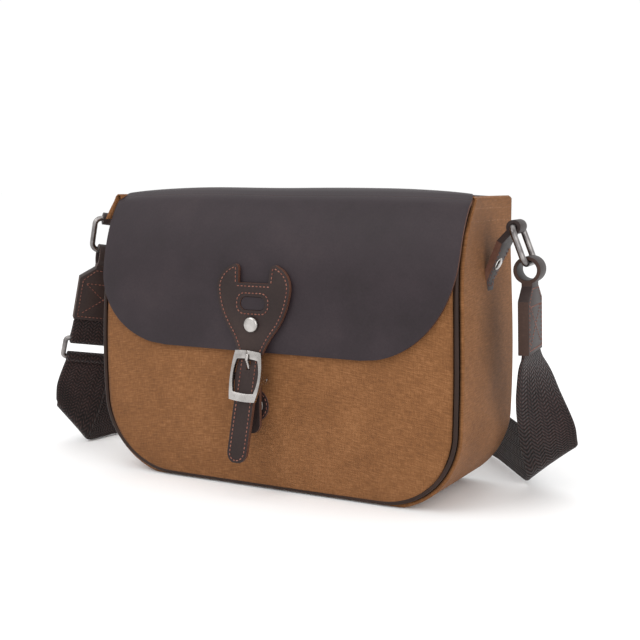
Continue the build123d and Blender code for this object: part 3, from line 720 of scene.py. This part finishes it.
def hem(side):
    """The folded canvas band round the top of a gusset; its front left corner stands out past the flap."""
    start = -0.11 if side < 0 else 0.0
    rows = []
    line = [p for p in RIM_LINE if p.x * side > 0 and p.z > 0.188]
    line = sorted(line, key=lambda p: p.z)
    for p in [Vector((line[0].x, 0, z)) for z in np.linspace(0.1885, 0.2052, 7)]:
        rows.append([tuple(gusset_point(p, t, 0.0011 + flare(side, t))) for t in np.linspace(start, 1.0, 44)])
    rows.append([(q[0] - side * 0.0014, q[1], q[2] + 0.0009) for q in rows[-1]])
    rows.append([(q[0] - side * 0.0022, q[1], q[2] - 0.0004) for q in rows[-1]])
    rows.append([(q[0] - side * 0.0004, q[1], q[2] - 0.0120) for q in rows[-1]])
    piece = grid(f"{'right' if side > 0 else 'left'}_gusset_hem", rows, CANVAS)
    thicken(piece, 0.0008, offset=1.0 if side > 0 else -1.0)
    ride(piece, "bag")
    marks = []
    for z in (0.1905, 0.1990):
        marks.append([(gusset_point(Vector((line[0].x, 0, z)), t, 0.0021), Vector((side, 0, 0)))
                      for t in np.linspace(0.02, 0.98, 40)])
    hem_name = f"{'right' if side > 0 else 'left'}_hem_stitches"
    sewn = stitches(hem_name, marks, TAN_THREAD, 0.0030, 0.0020, 0.00042)
    ride(sewn, "bag")


for side in (-1, 1):
    hem(side)


def bead(name, front):
    line = []
    for p in RIM_LINE:
        y = front_y(p.z) + 0.0016 if front else 0.0484
        line.append((p.x - 0.0012 * (1 if p.x > 0 else -1) * (abs(p.x) > 0.088), y,
                     max(p.z + (0.0018 if abs(p.x) <= 0.088 else 0.0018 * max(0, 1 - p.z / CORNER)), 0.0)))
    piece = tube(name, line, 0.0015, PIPING, 12)
    return piece


piping_front = bead("front_piping_bead", True)
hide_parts("front_piping")
ride(piping_front, "bag")
piping_back = bead("back_piping_bead", False)
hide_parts("back_piping")
ride(piping_back, "bag")

lining = refined("lining", "lining_cloth", LINING, 0.0004)
ride(lining, "bag")
insert = refined("insert_shell", "padded_insert", PAD, 0.0024)
ride(insert, "bag")
for side in ("left", "right"):
    wall = refined(f"{side}_divider", f"{side}_padded_divider", PAD, 0.0022)
    ride(wall, f"{side}_divider")
NODES["base_board"].data.materials.clear()
NODES["base_board"].data.materials.append(BOARD)

# ---------------------------------------------------------------- flap
FLAP_T = 0.0024
FLAP_PROFILE = [(0.0528, 0.1660), (0.0528, 0.1800), (0.0527, 0.1950), (0.0524, 0.2020), (0.0505, 0.2066),
                (0.0450, 0.2092), (0.0340, 0.2108), (0.0180, 0.2120), (0.0000, 0.2126), (-0.0110, 0.2125),
                (-0.0200, 0.2112), (-0.0275, 0.2082), (-0.0352, 0.2036), (-0.0410, 0.1958), (-0.0462, 0.1862),
                (-0.0506, 0.1750), (-0.0542, 0.1620), (-0.0564, 0.1480), (-0.0578, 0.1300), (-0.0586, 0.1140),
                (-0.0588, 0.0990)]
PROFILE = spline([(y, z) for y, z in FLAP_PROFILE], 200)
BACK_END = int(np.argmax(PROFILE[:, 1] > 0.2000))
FOLD_AT = int(np.argmin(np.hypot(PROFILE[:, 0] + 0.0300, PROFILE[:, 1] - 0.2066)))
FLAP_HALF = 0.1415


def flap_half(y, z, index, side):
    """Half the flap's width at a station; each lower corner is its own quarter ellipse."""
    if index < BACK_END:
        return 0.1335
    if y > -0.034 and z > 0.2000:
        t = min(max((y + 0.034) / 0.030, 0.0), 1.0)
        return FLAP_HALF - 0.0080 * t * t * (3 - 2 * t)
    wide, tall = (0.066, 0.072) if side > 0 else (0.060, 0.052)
    if z < 0.0990 + tall and y < 0:
        return FLAP_HALF - wide + wide * math.sqrt(max(1 - ((0.0990 + tall - z) / tall) ** 2, 0))
    return FLAP_HALF


def flap_part(name, start, stop):
    rows = []
    for i in range(start, stop + 1):
        y, z = PROFILE[i]
        a, b = PROFILE[max(i - 1, 0)], PROFILE[min(i + 1, len(PROFILE) - 1)]
        way = Vector((0, b[0] - a[0], b[1] - a[1])).normalized()
        normal = Vector((0, way.z, -way.y))
        if i < BACK_END:
            normal = Vector((0, 1, 0))
        elif normal.z < 0 and y > -0.03:
            normal = -normal
        if y < -0.03 and normal.y > 0:
            normal = -normal
        row = []
        for t in np.linspace(-1, 1, 90):
            half = flap_half(y, z, i, t)
            x = half * math.copysign(abs(t) ** 0.93, t)
            face = 1.0 if i > BACK_END else 0.0
            lower = min(max((0.20 - z) / 0.10, 0), 1) if y < 0 else 0.0
            curl = 0.0022 * (abs(x) / FLAP_HALF) ** 8 * face
            slack = 0.0009 * wrinkle(x, z + y, 21.0, 14.0) * face * (1 - 0.6 * lower)
            behind = min(max((y + 0.024) / 0.030, 0), 1) * min(max((0.0500 - y) / 0.012, 0), 1)
            dip = (0.0012 * (1 - (x / FLAP_HALF) ** 2) + 0.0058 * (abs(x) / half) ** 5) * face * behind
            row.append(tuple(Vector((x, y, z)) + normal * (slack - curl - dip)))
        rows.append(row)
    return grid(name, rows, LEATHER), rows


def finish_leather(piece, rows):
    mesh = piece.data
    middle = mesh.polygons[len(mesh.polygons) // 2]
    outward = Vector((0, -1, 1)) if rows[len(rows) // 2][0][1] < 0.04 else Vector((0, 1, 0))
    if middle.normal.dot(outward) < 0:
        mesh.flip_normals()
    thicken(piece, FLAP_T, offset=-1.0, bevel=0.0007, rim_material=EDGE)
    smooth_shade(piece.data)
    piece.data.set_sharp_from_angle(angle=math.radians(48))


flap_back, rows = flap_part("flap_back_leather", 0, BACK_END)
finish_leather(flap_back, rows)
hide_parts("flap_back_strip")
ride(flap_back, "bag")

flap_lid, rows = flap_part("flap_lid_leather", BACK_END, FOLD_AT)
finish_leather(flap_lid, rows)
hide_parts("flap_top")
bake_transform(flap_lid)

flap_face, rows = flap_part("flap_face_leather", FOLD_AT, len(PROFILE) - 1)
finish_leather(flap_face, rows)
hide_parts("flap_front")
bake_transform(flap_face)

# Stitches that hold the flap's tail to the back panel.
marks = []
for z in (0.1690, 0.1960):
    marks.append([(Vector((x, 0.0529, z)), Vector((0, 1, 0))) for x in np.linspace(-0.130, 0.130, 60)])
for s in (-1, 1):
    marks.append([(Vector((s * 0.1315, 0.0529, z)), Vector((0, 1, 0)))
                  for z in np.linspace(0.169, 0.196, 12)])
ride(stitches("flap_tail_stitches", marks, THREAD), "bag")

# ---------------------------------------------------------------- closure
closure = refined("closure_strap", "closure_leather", TRIM, 0.0005, EDGE,
                  lambda normal, at: abs(normal.y) < 0.6)
ride(closure, "flap_face")
BUCKLE = (Matrix.Translation((-0.0064, -0.0667, 0.0830)) @ Matrix.Rotation(math.radians(-11.3), 4, "X")
          @ Matrix.Rotation(math.radians(2.5), 4, "Y"))
# Inside the buckle's frame the leather spreads a little, as far as the curved rails let it.
edit = bmesh.new()
edit.from_mesh(closure.data)
for z in np.linspace(-0.012, 0.012, 9):
    bmesh.ops.bisect_plane(edit, geom=edit.verts[:] + edit.edges[:] + edit.faces[:], dist=1e-7,
                           plane_co=BUCKLE @ Vector((0, 0, z)), plane_no=BUCKLE.to_3x3() @ Vector((0, 0, 1)))
for vertex in edit.verts:
    p = BUCKLE.inverted() @ vertex.co
    if abs(p.z) < 0.0121 and abs(p.y) < 0.0025 and abs(p.x) > 0.005:
        p.x += math.copysign(0.0019 * (1 - (p.z / 0.0121) ** 2), p.x)
        vertex.co = BUCKLE @ p
edit.to_mesh(closure.data)
edit.free()
closure_tree = surface_of(closure)

# The leather's outer skin closes the lower part of the prong's slot, and lifts with the prong.
skin_mesh = bpy.data.meshes.new("slot_skin")
edit = bmesh.new()
bmesh.ops.create_cube(edit, size=1.0)
edit.to_mesh(skin_mesh)
edit.free()
skin_mesh.transform(Matrix.Diagonal((0.0031, 0.0006, 0.0056, 1.0)))
skin_mesh.transform(Matrix.Translation((0, -0.00125, 0.0018)))
skin_mesh.transform(BUCKLE)
ride(new_object("slot_skin", skin_mesh, TRIM), "prong")
CX, ROLL = -0.0058, math.tan(math.radians(2.5))


def arc3(a, b, c, count=14):
    """Points on the circle through three points."""
    ax, ay, bx, by, cx, cy = *a, *b, *c
    d = 2 * (ax * (by - cy) + bx * (cy - ay) + cx * (ay - by))
    aa, bb, cc = ax ** 2 + ay ** 2, bx ** 2 + by ** 2, cx ** 2 + cy ** 2
    ux = (aa * (by - cy) + bb * (cy - ay) + cc * (ay - by)) / d
    uy = (aa * (cx - bx) + bb * (ax - cx) + cc * (bx - ax)) / d
    angles = [math.atan2(p[1] - uy, p[0] - ux) for p in (a, b, c)]
    r = math.hypot(ax - ux, ay - uy)

    def unwrap(start, end):
        while end - start > math.pi:
            end -= 2 * math.pi
        while end - start < -math.pi:
            end += 2 * math.pi
        return end
    mid = unwrap(angles[0], angles[1])
    end = unwrap(mid, angles[2])
    return [(ux + r * math.cos(t), uy + r * math.sin(t)) for t in np.linspace(angles[0], end, count)]


def wrench_side(s):
    pts = [(s * 12.2, 147.0), (s * 12.4, 150.0), (s * 12.8, 156.0)]
    pts += arc3((s * 12.8, 156.0), (s * 15.2, 159.5), (s * 18.6, 158.7))
    pts += arc3((s * 18.6, 158.7), (s * 26.4, 152.4), (s * 29.0, 142.5))
    pts += arc3((s * 29.0, 142.5), (s * 25.6, 127.6), (s * 17.6, 113.5))
    pts += arc3((s * 17.6, 113.5), (s * 11.6, 103.8), (s * 7.75, 94.0))
    return pts


def inset(points, amount):
    """An open line moved to its left by amount, with what doubles back dropped."""
    p = spline(points, 400)
    way = np.gradient(p, axis=0)
    way /= np.linalg.norm(way, axis=1, keepdims=True)
    q = p + np.stack([-way[:, 1], way[:, 0]], axis=1) * amount
    keep = []
    for point in q:
        if np.min(np.linalg.norm(p - point, axis=1)) > abs(amount) * 0.93:
            keep.append(point)
    return np.array(keep)


def billet_points(s):
    tip = 24.0 + 7.75
    pts = [(s * 7.75, z) for z in np.linspace(92.0, tip, 12)]
    pts += [(7.75 * s * math.cos(a), tip - 7.75 * math.sin(a)) for a in np.linspace(0, math.pi / 2, 10)[1:]]
    return [(x - (96.0 - z) * ROLL, z) for x, z in pts]


right_line = wrench_side(1) + billet_points(1)
left_line = wrench_side(-1) + billet_points(-1)
rows = [inset(right_line, -2.1), inset(left_line, 2.1)]
notch = [(x, 144.9) for x in np.linspace(-13.6, 13.6, 12)]
marks = []
for line in rows + [notch]:
    seam = [(CX + x / 1000, -0.10, z / 1000) for x, z in line]
    marks.append(cast_marks(closure_tree, seam, (0, 1, 0), 0.0))
window = []
for quarter, (sx, sz) in enumerate(((1, 1), (-1, 1), (-1, -1), (1, -1))):
    for a in np.linspace(0, math.pi / 2, 10):
        turn = a + quarter * math.pi / 2
        window.append((CX + (sx * 6.6 + 6.0 * math.cos(turn)) / 1000, -0.10,
                       (133.0 + sz * 1.2 + 6.0 * math.sin(turn)) / 1000))
window.append(window[0])
marks.append(cast_marks(closure_tree, window, (0, 1, 0), 0.0))
sewn = stitches("closure_stitches", marks, THREAD, 0.0028, 0.0019, 0.00042)
ride(sewn, "flap_face")

inlay = refined("patch_inlay", "patch_window", LEATHER, 0.0002)
ride(inlay, "flap_face")
for node in ("patch_rivet", "rivet_washer", "buckle_frame", "heel_bar", "snap_stud", "snap_socket",
             "buckle_prong", "strap_slider"):
    body = {"buckle_prong": "prong", "strap_slider": "slider", "snap_socket": "bag"}.get(node, "flap_face")
    piece = refined(node, f"{node}_metal", NICKEL if node != "strap_slider" else DARK_NICKEL,
                    0.0006 if node in ("buckle_frame", "strap_slider") else 0.0003)
    ride(piece, body)
for node in ("left_ring", "right_ring", "adjuster_ring"):
    data = NODES[node].data
    data.materials.clear()
    data.materials.append(DARK_NICKEL)
chape = refined("snap_chape", "snap_chape_leather", TRIM, 0.0006, EDGE, lambda n, c: abs(n.y) < 0.6)
ride(chape, "flap_face")
socket_patch = refined("snap_patch", "snap_patch_leather", TRIM, 0.0006, EDGE, lambda n, c: abs(n.y) < 0.6)
ride(socket_patch, "bag")
socket_tree = surface_of(socket_patch)
ring_marks = cast_marks(socket_tree, [(-0.0084 + 0.0103 * math.cos(a), -0.09, 0.061 + 0.0103 * math.sin(a))
                                      for a in np.linspace(0, 2 * math.pi, 50)], (0, 1, 0), 0.0)
ride(stitches("snap_patch_stitches", [ring_marks], THREAD), "bag")

# ---------------------------------------------------------------- side leather
SIDES = {
    "left": dict(sign=-1, bar=L_BAR, down=L_END, lower=Vector((-0.174348, -0.003938, 0.160992)),
                 lean=-0.07, rivet=(-0.1451, 0.0, 0.1610)),
    "right": dict(sign=1, bar=Vector((-0.099999, 0.994988, 0.0)),
                  down=Vector((0.029687, 0.002984, -0.999555)),
                  lower=Vector((0.171302, -0.000065, 0.163383)), lean=0.42, rivet=(0.1493, 0.0, 0.1620)),
}
for name, s in SIDES.items():
    flat = s["bar"].cross(s["down"]).normalized()
    tab = refined(f"{name}_ring_tab", f"{name}_tab_leather", TRIM, 0.0006, EDGE,
                  lambda n, c: abs(n.y) > 0.9 and c.z < 0.1775)
    ride(tab, "bag")
    end = refined(f"{name}_strap_end", f"{name}_end_leather", TRIM, 0.0007, DARK_EDGE,
                  lambda n, c, b=s["bar"], d=s["down"]: abs(n.dot(b)) > 0.75 or n.dot(d) > 0.8)
    ride(end, f"{name}_end")
    tree = surface_of(end)
    marks = []
    low, bar, down = s["lower"], s["bar"], s["down"]
    frame_line = [(-18.3, 25.5), (-18.3, 56.4), (18.3, 56.4), (18.3, 25.5), (9.0, 16.5), (-9.0, 16.5),
                  (-18.3, 25.5)]
    cross_a, cross_b = [(-15.5, 28.0), (15.5, 53.5)], [(15.5, 28.0), (-15.5, 53.5)]
    box_line = [(-15.5, 28.0), (15.5, 28.0)]
    for line in (frame_line, cross_a, cross_b, box_line):
        points = []
        for a, b in zip(line[:-1], line[1:]):
            for t in np.linspace(0, 1, 16):
                points.append(low + bar * (a[0] + (b[0] - a[0]) * t) / 1000
                              + down * (a[1] + (b[1] - a[1]) * t) / 1000)
        for way in (flat, -flat):
            marks.append(cast_marks(tree, points, -way, 0.03))
    ride(stitches(f"{name}_end_stitches", [m for m in marks if len(m) > 2], THREAD, 0.0030, 0.0021, 0.00034),
         f"{name}_end")
    tab_tree = surface_of(tab)
    x = s["sign"] * 0.17
    edge_line = [(-8.6, 172.5), (-8.6, 168.0), (-3.2, 147.0), (3.2, 147.0), (8.6, 168.0), (8.6, 172.5)]
    points = []
    for a, b in zip(edge_line[:-1], edge_line[1:]):
        for t in np.linspace(0, 1, 14):
            points.append((x, (a[0] + (b[0] - a[0]) * t) / 1000, (a[1] + (b[1] - a[1]) * t) / 1000))
    tab_marks = cast_marks(tab_tree, points, (-s["sign"], 0, 0), 0.0)
    sewn = stitches(f"{name}_tab_stitches", [tab_marks], THREAD, 0.0028, 0.0020, 0.00034)
    ride(sewn, "bag")
    # a domed rivet through the tab
    dome = bpy.data.meshes.new(f"{name}_tab_rivet")
    edit = bmesh.new()
    bmesh.ops.create_uvsphere(edit, u_segments=28, v_segments=16, radius=0.0046)
    edit.to_mesh(dome)
    edit.free()
    dome.transform(Matrix.Diagonal((0.42, 1.0, 1.0, 1.0)))
    dome.transform(Matrix.Rotation(s["lean"], 4, "Y"))
    dome.transform(Matrix.Translation(s["rivet"]))
    smooth_shade(dome)
    ride(new_object(f"{name}_tab_rivet", dome, NICKEL), "bag")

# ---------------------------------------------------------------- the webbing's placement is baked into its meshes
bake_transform(left_web)
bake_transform(tail)
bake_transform(right_web)
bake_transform(tail_end)

# ---------------------------------------------------------------- studio
floor_mesh = bpy.data.meshes.new("studio_floor")
edit = bmesh.new()
bmesh.ops.create_grid(edit, x_segments=2, y_segments=2, size=14.0)
edit.to_mesh(floor_mesh)
edit.free()
floor = new_object("studio_floor", floor_mesh, PAPER)
floor.location = (0, 0, -0.0010)

bpy.context.scene.view_settings.view_transform = "Standard"
world = bpy.data.worlds.new("studio")
bpy.context.scene.world = world
world.use_nodes = True
world.node_tree.nodes["Background"].inputs[0].default_value = (1.0, 1.0, 1.0, 1.0)
world.node_tree.nodes["Background"].inputs[1].default_value = 1.02


def softbox(name, place, aim, size, power):
    data = bpy.data.lights.new(name, "AREA")
    data.shape = "RECTANGLE"
    data.size, data.size_y = size
    data.energy = power
    lamp = bpy.data.objects.new(name, data)
    lamp.location = place
    lamp.rotation_euler = (Vector(aim) - Vector(place)).to_track_quat("-Z", "Y").to_euler()
    COLLECTION.objects.link(lamp)


softbox("key", (-0.7, -1.5, 1.7), (0, 0, 0.1), (1.2, 1.2), 12.5)
softbox("fill", (1.5, -1.3, 0.9), (0.1, 0, 0.1), (1.8, 1.4), 12.0)
softbox("top", (0.0, 0.2, 1.9), (0, 0, 0.1), (1.6, 1.2), 4.5)
